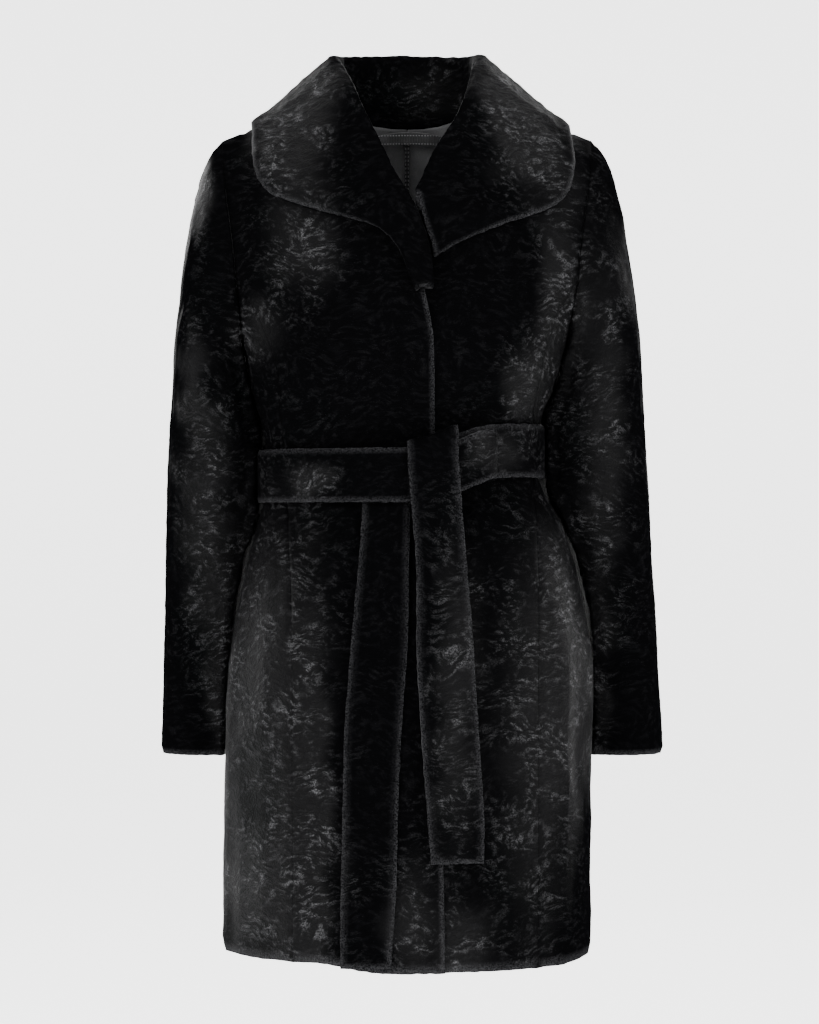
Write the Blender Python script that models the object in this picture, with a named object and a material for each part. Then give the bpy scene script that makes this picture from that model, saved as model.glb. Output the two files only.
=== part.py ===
"""Shearling stroller coat, belted, filled out and hollow, with a high wing collar.

Units are metres, +Z is up, the front faces -Y and +X is the wearer's left. The origin is the
middle of the neck, just under the shoulder points, where the wearer's shoulders hold the coat.
Every cloth piece is a wall of shearling between an outer and an inner layer of points.
"""
import math
from collections import namedtuple
from itertools import product

import bmesh
import bpy
import numpy as np
from mathutils import Vector
from mathutils.bvhtree import BVHTree

# ---- driving dimensions -------------------------------------------------------------------
WALL = 0.005                # shearling: skin and clipped wool together
SEAM = 0.0003               # gap between two pieces at a seam
NECK_SEAM = 0.0006          # gap along the neckline, where the collar is sewn on
LIE = 0.0005                # gap under what lies on another piece
BELT_LIE = 0.0008           # the same under the belt
LEAF_LIE = 0.0010           # the same under the faces of the collar's leaves
NECK_HALF = 0.078           # neck point of the shoulder, from the middle
NECK_HEIGHT = 0.0405        # height of that point
SHOULDER_HALF = 0.1885      # shoulder tip, from the middle
SHOULDER_SLOPE = 0.42       # fall of the shoulder for each unit outwards
NECK_BACK_DROP = 0.0225     # the back neck lies this much lower than the neck points
HEM = -0.828
HEM_LIFT = 0.0085           # the hem rises this much on the wearer's right of the front
WAIST = -0.336
WAIST_TILT = 0.0125         # the belt sits higher on the wearer's left by twice this
UNDERARM = -0.225
SEAM_TOP = -0.155           # where the side seams meet the armhole
SEAM_BEND = -0.262          # above this the side seams curve out to the armhole
ARM_SEAM_X = 0.170          # where they meet it, from the middle
ROUNDNESS = 2.3             # exponent of the body's plan, 2 is an ellipse
FRONT_ROUND = 1.7           # exponents of the slope from the shoulder down
BACK_ROUND = 2.5
SLEEVE_TOP = -0.262         # the sleeve's rings are level from here down
CUFF = -0.634
BELT_START = 14             # degrees round from the front: both ends lie under the tail
BELT_ROUND = 352
BELT_WIDTH = 0.053

# ---- how finely the pieces are divided ----------------------------------------------------
SKIRT_ROWS = 9
WAIST_ROWS = 9
SEAM_ROWS = 3               # from the bend to the top of the side seams
ARM_ROWS = 8                # from there to the shoulder tip, on the front and on the back
FRONT_COLUMNS = 12
SIDE_COLUMNS = 8            # ARM_ROWS, SIDE_COLUMNS and ARM_ROWS go round the sleeve
BACK_COLUMNS = 9
NECK_COLUMNS = 7            # of the front's columns, those that end at the neck
BACK_NECK_COLUMNS = 5
CAP_ROWS = 6
ARM_RINGS = 14

Ring = namedtuple("Ring", "height half_width front back centre")
RINGS = (
    Ring(-0.840, 0.187, 0.150, 0.140, -0.001),
    Ring(-0.630, 0.1865, 0.144, 0.136, 0.001),
    Ring(-0.570, 0.187, 0.140, 0.134, 0.003),
    Ring(-0.511, 0.182, 0.134, 0.131, 0.004),
    Ring(-0.457, 0.171, 0.128, 0.127, 0.004),
    Ring(-0.410, 0.159, 0.120, 0.120, 0.002),
    Ring(-0.385, 0.149, 0.112, 0.112, -0.002),
    Ring(-0.368, 0.1385, 0.105, 0.105, -0.006),
    Ring(-0.336, 0.1365, 0.104, 0.104, -0.006),
    Ring(-0.306, 0.1375, 0.105, 0.105, -0.005),
    Ring(-0.287, 0.1440, 0.111, 0.109, -0.004),
    Ring(-0.257, 0.1550, 0.119, 0.113, -0.003),
    Ring(-0.222, 0.1640, 0.125, 0.115, -0.002),
    Ring(-0.150, 0.190, 0.130, 0.118, 0.0),
    Ring(-0.100, 0.205, 0.130, 0.120, 0.0),
    Ring(-0.050, 0.215, 0.128, 0.121, 0.0),
    Ring(0.045, 0.220, 0.126, 0.122, 0.0),
)

# soft folds of the body: place round the body in degrees (0 front, 90 wearer's left,
# 180 back), at an upper and a lower height, half width in degrees, height out of the cloth
Fold = namedtuple("Fold", "top_turn top bottom_turn bottom half_turn rise")
FOLDS = (
    Fold(-66, -0.205, -40, -0.290, 6.0, -0.006),
    Fold(-52, -0.255, -44, -0.315, 5.0, 0.004),
    Fold(50, -0.215, 56, -0.305, 5.5, 0.004),
    Fold(20, -0.180, 30, -0.290, 9.0, -0.003),
    Fold(-20, -0.370, -38, -0.490, 6.0, 0.006),
    Fold(-38, -0.490, -37, -0.850, 7.0, 0.006),
    Fold(-58, -0.400, -62, -0.600, 6.0, -0.004),
    Fold(-72, -0.520, -76, -0.850, 8.0, 0.002),
    Fold(22, -0.360, 38, -0.470, 6.0, 0.004),
    Fold(52, -0.440, 50, -0.850, 7.0, 0.005),
    Fold(34, -0.520, 32, -0.850, 7.0, -0.004),
    Fold(-4, -0.560, -2, -0.850, 7.0, 0.003),
    Fold(76, -0.480, 80, -0.850, 8.0, 0.0015),
    Fold(126, -0.420, 122, -0.850, 9.0, 0.006),
    Fold(160, -0.380, 152, -0.850, 9.0, -0.005),
    Fold(-166, -0.400, -160, -0.850, 9.0, 0.006),
    Fold(-128, -0.440, -126, -0.850, 10.0, -0.005),
    Fold(-146, -0.200, -138, -0.300, 8.0, 0.004),
    Fold(150, -0.190, 140, -0.295, 8.0, 0.005),
)
# small gathers above and below the belt
GATHERS = 15
GATHER_RISE = 0.0022
GATHER_REACH = 0.050

Edge = namedtuple("Edge", "height x")
# the front edge that shows, on the wearer's right front, and the hidden one under it
LAP_EDGE = (Edge(-0.840, 0.0375), Edge(-0.700, 0.035), Edge(-0.500, 0.030),
            Edge(-0.336, 0.028), Edge(-0.225, 0.0268), Edge(-0.165, 0.0165),
            Edge(-0.120, 0.0085))
UNDER_EDGE = (Edge(-0.840, -0.046), Edge(-0.336, -0.044), Edge(-0.200, -0.040),
              Edge(-0.128, -0.030))
# side-front seams, wearer's right and left, and the side-back seams
SEAM_RIGHT = (Edge(-0.840, -0.108), Edge(-0.500, -0.110), Edge(-0.400, -0.118),
              Edge(-0.336, -0.122), Edge(-0.262, -0.127))
SEAM_LEFT = (Edge(-0.840, 0.127), Edge(-0.500, 0.129), Edge(-0.400, 0.128),
             Edge(-0.336, 0.127), Edge(-0.262, 0.129))
SEAM_BACK = (Edge(-0.840, 0.118), Edge(-0.336, 0.112), Edge(-0.262, 0.120))

Spot = namedtuple("Spot", "x z")
# neckline of each front, from its edge up to the neck point, seen from the front
NECK_RIGHT = (Spot(0.0085, -0.120), Spot(0.000, -0.098), Spot(-0.014, -0.071),
              Spot(-0.032, -0.039), Spot(-0.052, -0.006), Spot(-0.069, 0.022))
NECK_LEFT = (Spot(-0.030, -0.128), Spot(-0.006, -0.110), Spot(0.012, -0.086),
             Spot(0.030, -0.055), Spot(0.051, -0.014), Spot(0.069, 0.021))
# armhole seen from the front, from below the tip of the shoulder to the side seam
ARMHOLE = (Spot(0.1865, -0.030), Spot(0.1815, -0.065),
           Spot(0.1760, -0.100), Spot(0.1725, -0.128), Spot(ARM_SEAM_X, SEAM_TOP))

# the lift of the lapping front over the collar that passes under it
LAP_LIFT = 0.0062
# how far the under front is set in below the lapping one
LAP_SET_IN = WALL + 0.0008

Cut = namedtuple("Cut", "height outer_right outer_left half_depth middle")
# sleeve rings: outermost x on each side, half depth front to back, middle y
SLEEVE_RINGS = (
    Cut(-0.230, 0.2392, 0.2400, 0.060, 0.012),
    Cut(-0.262, 0.2412, 0.2424, 0.0575, 0.018),
    Cut(-0.310, 0.2448, 0.2460, 0.054, 0.028),
    Cut(-0.352, 0.2480, 0.2492, 0.052, 0.036),
    Cut(-0.413, 0.2502, 0.2532, 0.051, 0.045),
    Cut(-0.474, 0.2512, 0.2572, 0.050, 0.051),
    Cut(-0.5355, 0.2532, 0.2612, 0.048, 0.055),
    Cut(-0.634, 0.2560, 0.2664, 0.045, 0.056),
)
SLEEVE_CLEAR = 0.0020       # room between a sleeve and the body beside it
SLEEVE_TUCK = 0.032         # its inner side reaches furthest in this far behind its middle

# collar, by stations: the foot on the neckline, the crest of the fold and the free edge
Station = namedtuple("Station", "foot_x foot_z face crest_x crest_y crest_z edge_x edge_y edge_z")
COLLAR_RIGHT = (
    Station(0.0160, -0.168, -1, 0.0215, -0.1330, -0.168, 0.0120, -0.140, -0.169),
    Station(0.0120, -0.146, -1, 0.0205, -0.1320, -0.143, 0.0045, -0.135, -0.150),
    Station(0.0085, -0.120, -1, 0.0150, -0.1255, -0.118, -0.0060, -0.130, -0.124),
    Station(0.0030, -0.105, -1, 0.0070, -0.1170, -0.095, -0.0260, -0.125, -0.102),
    Station(-0.0060, -0.086, -1, -0.0040, -0.1040, -0.072, -0.0520, -0.118, -0.093),
    Station(-0.0180, -0.064, -1, -0.0170, -0.0890, -0.048, -0.0820, -0.105, -0.086),
    Station(-0.0320, -0.039, -1, -0.0300, -0.0720, -0.020, -0.1100, -0.090, -0.077),
    Station(-0.0470, -0.015, -1, -0.0440, -0.0500, 0.012, -0.1340, -0.075, -0.069),
    Station(-0.0610, 0.009, -1, -0.0580, -0.0260, 0.043, -0.1480, -0.058, -0.053),
    Station(-0.0700, 0.0235, -1, -0.0690, -0.0040, 0.068, -0.1530, -0.035, -0.030),
    Station(-0.0778, 0.0404, -1, -0.0760, 0.0200, 0.080, -0.1540, 0.005, 0.003),
    Station(-0.0690, 0.0340, 1, -0.0700, 0.0500, 0.085, -0.1320, 0.060, -0.002),
    Station(-0.0480, 0.0245, 1, -0.0490, 0.0720, 0.088, -0.0950, 0.095, -0.018),
    Station(-0.0240, 0.0190, 1, -0.0250, 0.0830, 0.090, -0.0500, 0.110, -0.028),
)
COLLAR_BACK = (
    Station(0.0, 0.018, 1, 0.0, 0.0860, 0.091, 0.0, 0.115, -0.032),
)
COLLAR_LEFT = (
    Station(0.0240, 0.0190, 1, 0.0250, 0.0830, 0.090, 0.0500, 0.110, -0.028),
    Station(0.0480, 0.0245, 1, 0.0490, 0.0720, 0.088, 0.0960, 0.095, -0.018),
    Station(0.0690, 0.0340, 1, 0.0700, 0.0500, 0.085, 0.1360, 0.060, -0.004),
    Station(0.0778, 0.0404, -1, 0.0755, 0.0200, 0.080, 0.1610, 0.005, 0.000),
    Station(0.0700, 0.0230, -1, 0.0700, -0.0040, 0.066, 0.1670, -0.035, -0.034),
    Station(0.0620, 0.0080, -1, 0.0640, -0.0280, 0.035, 0.1620, -0.058, -0.064),
    Station(0.0510, -0.0140, -1, 0.0510, -0.0520, 0.007, 0.1440, -0.075, -0.083),
    Station(0.0380, -0.0400, -1, 0.0370, -0.0720, -0.018, 0.1150, -0.092, -0.094),
    Station(0.0240, -0.0660, -1, 0.0240, -0.0880, -0.044, 0.0840, -0.105, -0.104),
    Station(0.0155, -0.0800, -1, 0.0165, -0.0985, -0.062, 0.0560, -0.112, -0.114),
    Station(0.0120, -0.0862, -1, 0.0115, -0.1040, -0.075, 0.0262, -0.119, -0.1325),
)
STAND_STEPS = 3
ROLL_STEPS = 4
LEAF_STEPS = 6
ROLL_RADIUS = 0.0035        # under side of the collar's fold

Tail = namedtuple("Tail", "height middle half_width")
FRONT_TAIL = (
    Tail(-0.335, 0.0255, 0.0250), Tail(-0.354, 0.0270, 0.0250), Tail(-0.422, 0.0318, 0.0250),
    Tail(-0.469, 0.0345, 0.0258), Tail(-0.517, 0.0362, 0.0280), Tail(-0.605, 0.0412, 0.0280),
    Tail(-0.679, 0.0465, 0.0275), Tail(-0.722, 0.0482, 0.0255),
)
UNDER_TAIL = (
    Tail(-0.345, -0.0200, 0.0225), Tail(-0.377, -0.0200, 0.0230), Tail(-0.438, -0.0225, 0.0245),
    Tail(-0.520, -0.0267, 0.0275), Tail(-0.586, -0.0320, 0.0275), Tail(-0.662, -0.0347, 0.0265),
    Tail(-0.744, -0.0365, 0.0265), Tail(-0.822, -0.0395, 0.0240),
)
BELT_COLUMNS = 48
TAIL_ROWS = 18
TAIL_COLUMNS = 3
KNOT_LEFT = 0.040           # the knot's lobe: hidden ends, under the front tail
KNOT_TURN = 0.079           # where it turns back
KNOT_HOLLOW = 0.0022        # inner radius of that turn
KNOT_HALF = 0.0255          # half its height
LOOP_HALF = 0.034           # hanger loop, half its length
LOOP_WIDTH = 0.012
LOOP_HEIGHT = 0.0035        # height of the middle of its ends
LOOP_WALL = 0.0022
LOOP_ARCH = 0.004           # its middle rises and stands off by this much
CENTRE_TAPE_HALF = 0.0024   # tape over the centre-back seam
CENTRE_TAPE_WALL = 0.0008

BLACK_FUR = (0.010, 0.010, 0.012)
GREY_SUEDE = (0.115, 0.115, 0.120)


# ---- curves and the body's form -----------------------------------------------------------
def smooth_curve(places, values):
    """A smooth curve through the values that never overshoots between two of them."""
    xs = np.array(places, float)
    ys = np.array(values, float)
    slopes = np.diff(ys) / np.diff(xs)
    tangents = np.zeros(len(xs))
    tangents[0] = slopes[0]
    tangents[-1] = slopes[-1]
    for i in range(1, len(xs) - 1):
        if slopes[i - 1] * slopes[i] > 0:
            tangents[i] = 2 * slopes[i - 1] * slopes[i] / (slopes[i - 1] + slopes[i])

    def value(x):
        x = min(max(x, xs[0]), xs[-1])
        i = min(max(int(np.searchsorted(xs, x)) - 1, 0), len(xs) - 2)
        step = xs[i + 1] - xs[i]
        t = (x - xs[i]) / step
        return ((1 + 2 * t) * (1 - t) ** 2 * ys[i] + t * (1 - t) ** 2 * step * tangents[i]
                + t * t * (3 - 2 * t) * ys[i + 1] + t * t * (t - 1) * step * tangents[i + 1])
    return value


def table_curve(table, place, name):
    """The smooth curve of one named column of a table against another."""
    rows = sorted(table, key=lambda row: getattr(row, place))
    return smooth_curve([getattr(row, place) for row in rows],
                        [getattr(row, name) for row in rows])


def ramp(value, start, end):
    """0 before start, 1 after end and a smooth rise between."""
    t = min(max((value - start) / (end - start), 0.0), 1.0)
    return t * t * (3 - 2 * t)


half_width = table_curve(RINGS, "height", "half_width")
front_depth = table_curve(RINGS, "height", "front")
back_depth = table_curve(RINGS, "height", "back")
ring_centre = table_curve(RINGS, "height", "centre")


def shoulder_height(x):
    """Height of the shoulder seam at this distance from the middle."""
    out = abs(x) - NECK_HALF
    out = 0.5 * (out + math.sqrt(out * out + 0.008 ** 2))
    return NECK_HEIGHT + 0.0015 - SHOULDER_SLOPE * out


def shoulder_y(x):
    return 0.020 - 0.010 * ramp(abs(x), NECK_HALF, SHOULDER_HALF)


def waist_height(x, face):
    """Height of the belt's middle line, which steps up at the knot."""
    side = min(max(x / 0.14, -1.0), 1.0)
    if face > 0:
        return WAIST + WAIST_TILT * side
    turn = math.degrees(math.asin(side))
    return WAIST + WAIST_TILT * math.tanh((turn - 24) / 12)


def ring_height(x, z, face):
    """The height at which the table of rings is read: the narrow waist follows the belt."""
    near = math.exp(-((z - WAIST) / 0.075) ** 2)
    return z - (waist_height(x, face) - WAIST) * near


def fullness(x, z, face):
    """0 on the shoulder seam, rising to 1 at the underarm and below."""
    ridge = shoulder_height(x)
    t = min(max((ridge - z) / (ridge - UNDERARM), 1e-5), 1.0)
    power = FRONT_ROUND if face < 0 else BACK_ROUND
    return (1 - (1 - t) ** power) ** (1 / power)


def section(x, z, face):
    """Centre, half width, middle y and depth of the body's plan at a height."""
    level = ring_height(x, z, face)
    full = fullness(x, z, face)
    depth = (front_depth(level) if face < 0 else back_depth(level)) * full
    return ring_centre(level), half_width(level), shoulder_y(x) * (1 - full), depth


def body_base(x, z, face):
    """Point of the plain body form, without folds, on the front (-1) or the back (1)."""
    centre, half, middle, depth = section(x, z, face)
    side = min(abs(x - centre) / half, 1.0)
    return np.array((x, middle + face * depth * (1 - side ** ROUNDNESS) ** (1 / ROUNDNESS), z))


def body_normal(point, face):
    """Outward normal of the plain body form."""
    x, y, z = point
    if shoulder_height(x) - z < 0.0006:
        normal = np.array((math.copysign(SHOULDER_SLOPE, x) * ramp(abs(x), 0.06, 0.09), 0, 1))
        return normal / np.linalg.norm(normal)

    def level(px, py, pz):
        centre, half, middle, depth = section(px, pz, face)
        return (abs((px - centre) / half) ** ROUNDNESS
                + abs((py - middle) / depth) ** ROUNDNESS)
    step = 0.0003
    normal = np.array((level(x + step, y, z) - level(x - step, y, z),
                       level(x, y + step, z) - level(x, y - step, z),
                       level(x, y, z + step) - level(x, y, z - step)))
    return normal / np.linalg.norm(normal)


def fold_rise(point, face):
    """Height of the soft folds and gathers at a point of the body."""
    x, y, z = point
    centre, half, middle, depth = section(x, z, face)
    turn = math.degrees(math.atan2((x - centre) / half, -(y - middle) / depth))
    rise = 0.0
    for fold in FOLDS:
        t = (z - fold.top) / (fold.bottom - fold.top)
        if -0.15 < t < 1.15:
            at = fold.top_turn + (fold.bottom_turn - fold.top_turn) * min(max(t, 0.0), 1.0)
            away = (turn - at + 180) % 360 - 180
            ends = ramp(t, -0.15, 0.2) * ramp(t, 1.15, 0.85)
            rise += fold.rise * ends * math.exp(-(away / fold.half_turn) ** 2)
    away = abs(z - waist_height(x, face)) - BELT_WIDTH / 2
    near = ramp(away, 0.0, 0.012) * ramp(away, GATHER_REACH, 0.012)
    wave = math.sin(math.radians(turn) * GATHERS + 1.3 * math.sin(math.radians(turn) * 2))
    calm = ramp(abs(turn), 15, 35)
    return rise + GATHER_RISE * near * wave * calm


def body_pair(x, z, face, extra=0.0):
    """Outer and inner point of the body's wall."""
    base = body_base(x, z, face)
    normal = body_normal(base, face)
    outer = base + normal * (fold_rise(base, face) + extra)
    return outer, outer - normal * WALL


def lap_lift(x, z):
    """The lapping front rises over the collar end that passes under it."""
    return (LAP_LIFT * ramp(x, -0.100, -0.030) * ramp(z, -0.235, -0.165)
            * ramp(z, 0.030, -0.030))


def lap_set_in(x, z):
    """The under front lies deeper where the other front laps over it."""
    return -LAP_SET_IN * ramp(x, 0.105, 0.048) * ramp(z, 0.030, -0.030)


def flat(x, z):
    return 0.0


# ---- meshes -------------------------------------------------------------------------------
def material(name, colour, roughness):
    mat = bpy.data.materials.new(name)
    mat.use_nodes = True
    shader = mat.node_tree.nodes["Principled BSDF"]
    shader.inputs["Base Color"].default_value = (*colour, 1.0)
    shader.inputs["Roughness"].default_value = roughness
    shader.inputs["Metallic"].default_value = 0.0
    return mat


def wall(name, outer, inner, mat, closed=False):
    """A closed wall between two grids of points (rows, columns, xyz); a tube if closed."""
    rows, columns = outer.shape[:2]
    mesh = bmesh.new()
    bmesh.ops.create_grid(mesh, x_segments=columns - 1 + closed, y_segments=rows - 1, size=0.5)
    column_of = mesh.verts.layers.int.new("column")
    row_of = mesh.verts.layers.int.new("row")
    for vert in mesh.verts:
        column = round((vert.co.x + 0.5) * (columns - 1 + closed)) % columns
        row = round((vert.co.y + 0.5) * (rows - 1))
        vert[column_of] = column
        vert[row_of] = row
        vert.co = outer[row, column]
    if closed:
        bmesh.ops.remove_doubles(mesh, verts=mesh.verts[:], dist=1e-6)
    extruded = bmesh.ops.extrude_face_region(mesh, geom=mesh.faces[:])
    for vert in extruded["geom"]:
        if isinstance(vert, bmesh.types.BMVert):
            vert.co = inner[vert[row_of], vert[column_of]]
    bmesh.ops.recalc_face_normals(mesh, faces=mesh.faces[:])
    bmesh.ops.triangulate(mesh, faces=mesh.faces[:])
    data = bpy.data.meshes.new(name)
    mesh.to_mesh(data)
    mesh.free()
    data.materials.append(mat)
    data.shade_smooth()
    data.set_sharp_from_angle(angle=math.radians(50))
    piece = bpy.data.objects.new(name, data)
    coat.objects.link(piece)
    return piece


def pull_in(grid, amount, sides="all"):
    """The grid with its outer rows and columns moved in along the cloth by an amount."""
    grid = grid.copy()
    for edge, beside in (((0,), (1,)), ((-1,), (-2,))):
        step = grid[beside[0]] - grid[edge[0]]
        grid[edge[0]] += step * (amount / np.linalg.norm(step, axis=-1, keepdims=True))
    if sides == "all":
        for edge, beside in ((0, 1), (-1, -2)):
            step = grid[:, beside] - grid[:, edge]
            grid[:, edge] += step * (amount / np.linalg.norm(step, axis=-1, keepdims=True))
    return grid


def grid_normals(grid, closed=False):
    """Unit normals of a grid of points, rows crossed with columns."""
    down = np.gradient(grid, axis=0)
    if closed:
        across = np.roll(grid, -1, axis=1) - np.roll(grid, 1, axis=1)
    else:
        across = np.gradient(grid, axis=1)
    normal = np.cross(across, down)
    return normal / np.linalg.norm(normal, axis=-1, keepdims=True)


def surface_tree(grids):
    """A search tree over the outer faces of some grids, normals pointing out."""
    points = []
    faces = []
    for grid in grids:
        rows, columns = grid.shape[:2]
        start = len(points)
        points += [Vector(point) for point in grid.reshape(-1, 3)]
        for r in range(rows - 1):
            for c in range(columns - 1):
                a = start + r * columns + c
                face = (a, a + 1, a + columns + 1, a + columns)
                across = points[face[2]] - points[face[0]]
                along = points[face[3]] - points[face[1]]
                middle = points[face[0]] + across / 2
                away = across.cross(along).dot(Vector((middle.x, middle.y, 0.0)))
                faces.append(face if away > 0 else face[::-1])
    return BVHTree.FromPolygons(points, faces)


# ---- the body's panels --------------------------------------------------------------------
def hem_height(x, face):
    if face > 0:
        return HEM
    return HEM + HEM_LIFT * ramp(x, -0.02, -0.09) * ramp(x, -0.186, -0.150)


def spots_curve(spots):
    """A curve through spots seen from the front, by the share of its length."""
    lengths = [0.0]
    for a, b in zip(spots, spots[1:]):
        lengths.append(lengths[-1] + math.hypot(b.x - a.x, b.z - a.z))
    shares = [length / lengths[-1] for length in lengths]
    x_of = smooth_curve(shares, [spot.x for spot in spots])
    z_of = smooth_curve(shares, [spot.z for spot in spots])
    return lambda share: np.array((x_of(share), z_of(share)))


def row_heights(x, face):
    """Heights of the level rows, from the hem to the bend of the side seams."""
    hem = hem_height(x, face)
    hip = -0.452
    return ([hem + (hip - hem) * i / SKIRT_ROWS for i in range(SKIRT_ROWS)]
            + [hip + (SEAM_BEND - hip) * i / WAIST_ROWS for i in range(WAIST_ROWS + 1)])


def side_seam_top(seam, sign):
    """The last stretch of a side seam, from its bend out to the armhole."""
    start = seam(SEAM_BEND)

    def place(share):
        bend = np.array((start + sign * 0.004, -0.205))
        end = np.array((sign * ARM_SEAM_X, SEAM_TOP))
        low = np.array((start, SEAM_BEND))
        return (1 - share) ** 2 * low + 2 * share * (1 - share) * bend + share ** 2 * end
    return place


def easing(share):
    """Rows lie closer together towards the shoulder, where the cloth bends most."""
    return 1 - (1 - share) ** 1.35


def torso_panel(edge, seam, top_spots, sign, face, columns, extra):
    """Points of a front or a back panel: outer and inner grids, rows from hem to shoulder."""
    x_edge = table_curve(edge, "height", "x") if edge else flat_edge
    x_seam = table_curve(seam, "height", "x")
    seam_end = side_seam_top(x_seam, sign)
    tip = Spot(sign * SHOULDER_HALF, shoulder_height(SHOULDER_HALF))
    tip_down = spots_curve([tip] + [Spot(sign * spot.x, spot.z) for spot in ARMHOLE])
    neck = Spot(sign * NECK_HALF, shoulder_height(NECK_HALF))
    neck_line = spots_curve(list(top_spots) + [neck])
    shares = np.linspace(0, 1, columns + 1)
    neck_columns = NECK_COLUMNS if face < 0 else BACK_NECK_COLUMNS
    upper = SEAM_ROWS + ARM_ROWS
    top_start = neck_line(0.0)

    def top_place(c):
        if c <= neck_columns:
            return neck_line(c / neck_columns)
        t = (c - neck_columns) / (columns - neck_columns)
        x = neck.x + (tip.x - neck.x) * t
        return np.array((x, shoulder_height(x)))

    def outer_place(r):
        if r <= SEAM_ROWS:
            return seam_end(r / SEAM_ROWS)
        return tip_down(1 - (r - SEAM_ROWS) / ARM_ROWS)

    def inner_place(r):
        share = easing(r / upper)
        z = SEAM_BEND + (top_start[1] - SEAM_BEND) * share
        return np.array((x_edge(z), z))

    outer = np.zeros((SKIRT_ROWS + WAIST_ROWS + upper + 1, columns + 1, 3))
    inner = outer.copy()
    for c, share in enumerate(shares):
        hem_x = x_edge(HEM) + (x_seam(HEM) - x_edge(HEM)) * share
        for r, z in enumerate(row_heights(hem_x, face)):
            x = x_edge(z) + (x_seam(z) - x_edge(z)) * share
            outer[r, c], inner[r, c] = body_pair(x, z, face, extra(x, z))
    low = [np.array((x_edge(SEAM_BEND) + (x_seam(SEAM_BEND) - x_edge(SEAM_BEND)) * share,
                     SEAM_BEND)) for share in shares]
    for r in range(1, upper + 1):
        s = r / upper
        for c, share in enumerate(shares):
            place = ((1 - s) * low[c] + s * top_place(c)
                     + (1 - share) * inner_place(r) + share * outer_place(r)
                     - (1 - s) * (1 - share) * low[0] - (1 - s) * share * low[-1]
                     - s * (1 - share) * top_place(0) - s * share * top_place(columns))
            x, z = place
            z = min(z, shoulder_height(x))
            row = SKIRT_ROWS + WAIST_ROWS + r
            outer[row, c], inner[row, c] = body_pair(x, z, face, extra(x, z))
    return outer, inner


def flat_edge(z):
    return 0.0


def side_panel(front_seam, sign):
    """Points of the panel under the arm, from the side-front to the side-back seam."""
    front_x = table_curve(front_seam, "height", "x")
    back_table = [Edge(row.height, sign * row.x) for row in SEAM_BACK]
    back_x = table_curve(back_table, "height", "x")
    front_end = side_seam_top(front_x, sign)
    back_end = side_seam_top(back_x, sign)
    low_rows = SKIRT_ROWS + WAIST_ROWS
    outer = np.zeros((low_rows + SEAM_ROWS + 1, SIDE_COLUMNS + 1, 3))
    inner = outer.copy()

    def place(r, share):
        """Height, and the x of both seams at that row."""
        if r <= low_rows:
            front_z = row_heights(front_x(HEM), -1)[r]
            back_z = row_heights(back_x(HEM), 1)[r]
            z = front_z + (back_z - front_z) * share
            return z, front_x(front_z), front_z, back_x(back_z), back_z
        s = (r - low_rows) / SEAM_ROWS
        a = front_end(s)
        b = back_end(s)
        dip = (SEAM_TOP - UNDERARM) * (1 - (2 * share - 1) ** 2) ** 0.8
        return (1 - share) * a[1] + share * b[1] - dip * s, a[0], a[1], b[0], b[1]

    for r in range(low_rows + SEAM_ROWS + 1):
        for c in range(SIDE_COLUMNS + 1):
            share = c / SIDE_COLUMNS
            z, xa, za, xb, zb = place(r, share)
            angle_a = plan_angle(xa, za, -1)
            angle_b = 180 - plan_angle(xb, zb, 1)
            angle = angle_a + (angle_b - angle_a) * share
            outer[r, c], inner[r, c] = side_pair(angle, z, sign)
    return outer, inner


def plan_angle(x, z, face):
    """Angle round the body's plan, 0 in the middle of the face and 90 at the side."""
    centre, half, _, _ = section(x, z, face)
    side = min(abs(x - centre) / half, 1.0)
    return math.degrees(math.asin(side ** (ROUNDNESS / 2)))


def side_pair(angle, z, sign):
    """Outer and inner wall point at an angle round the side, 0 front to 180 back."""
    face = -1 if angle <= 90 else 1
    reach = math.sin(math.radians(angle)) ** (2 / ROUNDNESS)
    x = sign * 0.15
    for _ in range(4):
        centre, half, _, _ = section(x, z, face)
        x = centre + sign * half * min(reach, 0.99999)
    return body_pair(x, z, face)


# ---- sleeves ------------------------------------------------------------------------------
def side_reach(tree, y, z, sign):
    """How far the body, with the belt on it, reaches sideways near this place."""
    reach = 0.0
    for y_step in (-0.008, 0.0, 0.008):
        for z_step in (-0.012, 0.0, 0.012):
            start = Vector((sign * 0.5, y + y_step, z + z_step))
            hit = tree.ray_cast(start, Vector((-sign, 0, 0)))[0]
            if hit:
                reach = max(reach, sign * hit.x)
    return reach


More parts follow.
